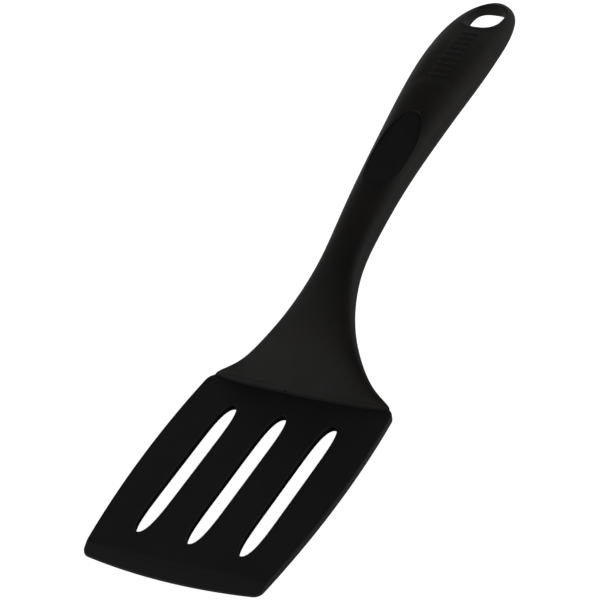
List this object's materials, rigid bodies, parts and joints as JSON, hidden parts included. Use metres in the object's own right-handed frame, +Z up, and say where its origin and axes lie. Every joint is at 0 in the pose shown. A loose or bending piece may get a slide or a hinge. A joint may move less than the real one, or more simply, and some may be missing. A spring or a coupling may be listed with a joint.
{
  "type": "grill spatula",
  "caption": "Slotted spatula with a flat bevelled blade, a cranked neck with a stepped shoulder, a rounded grip with a thumb rest, and a hanging eye.",
  "frame": {"origin": "middle of the blade's heel, on the blade's flat underside", "axes": "+Z up, away from the surface that the blade rests on; +Y along the part from the blade towards the hanging eye; +X across the blade"},
  "size_m": [0.0806, 0.3014, 0.0583],
  "materials": {
    "blade_nylon": "fine matt moulded nylon, near black",
    "core_nylon": "glass-filled nylon, hidden inside the handle",
    "handle_nylon": "satin moulded nylon, near black",
    "soft_touch": "dull soft-touch elastomer, near black"
  },
  "bodies": {
    "root": {"blade": "blade_nylon", "core": "core_nylon", "handle": "handle_nylon", "thumb_rest": "soft_touch"}
  },
  "joints": []
}
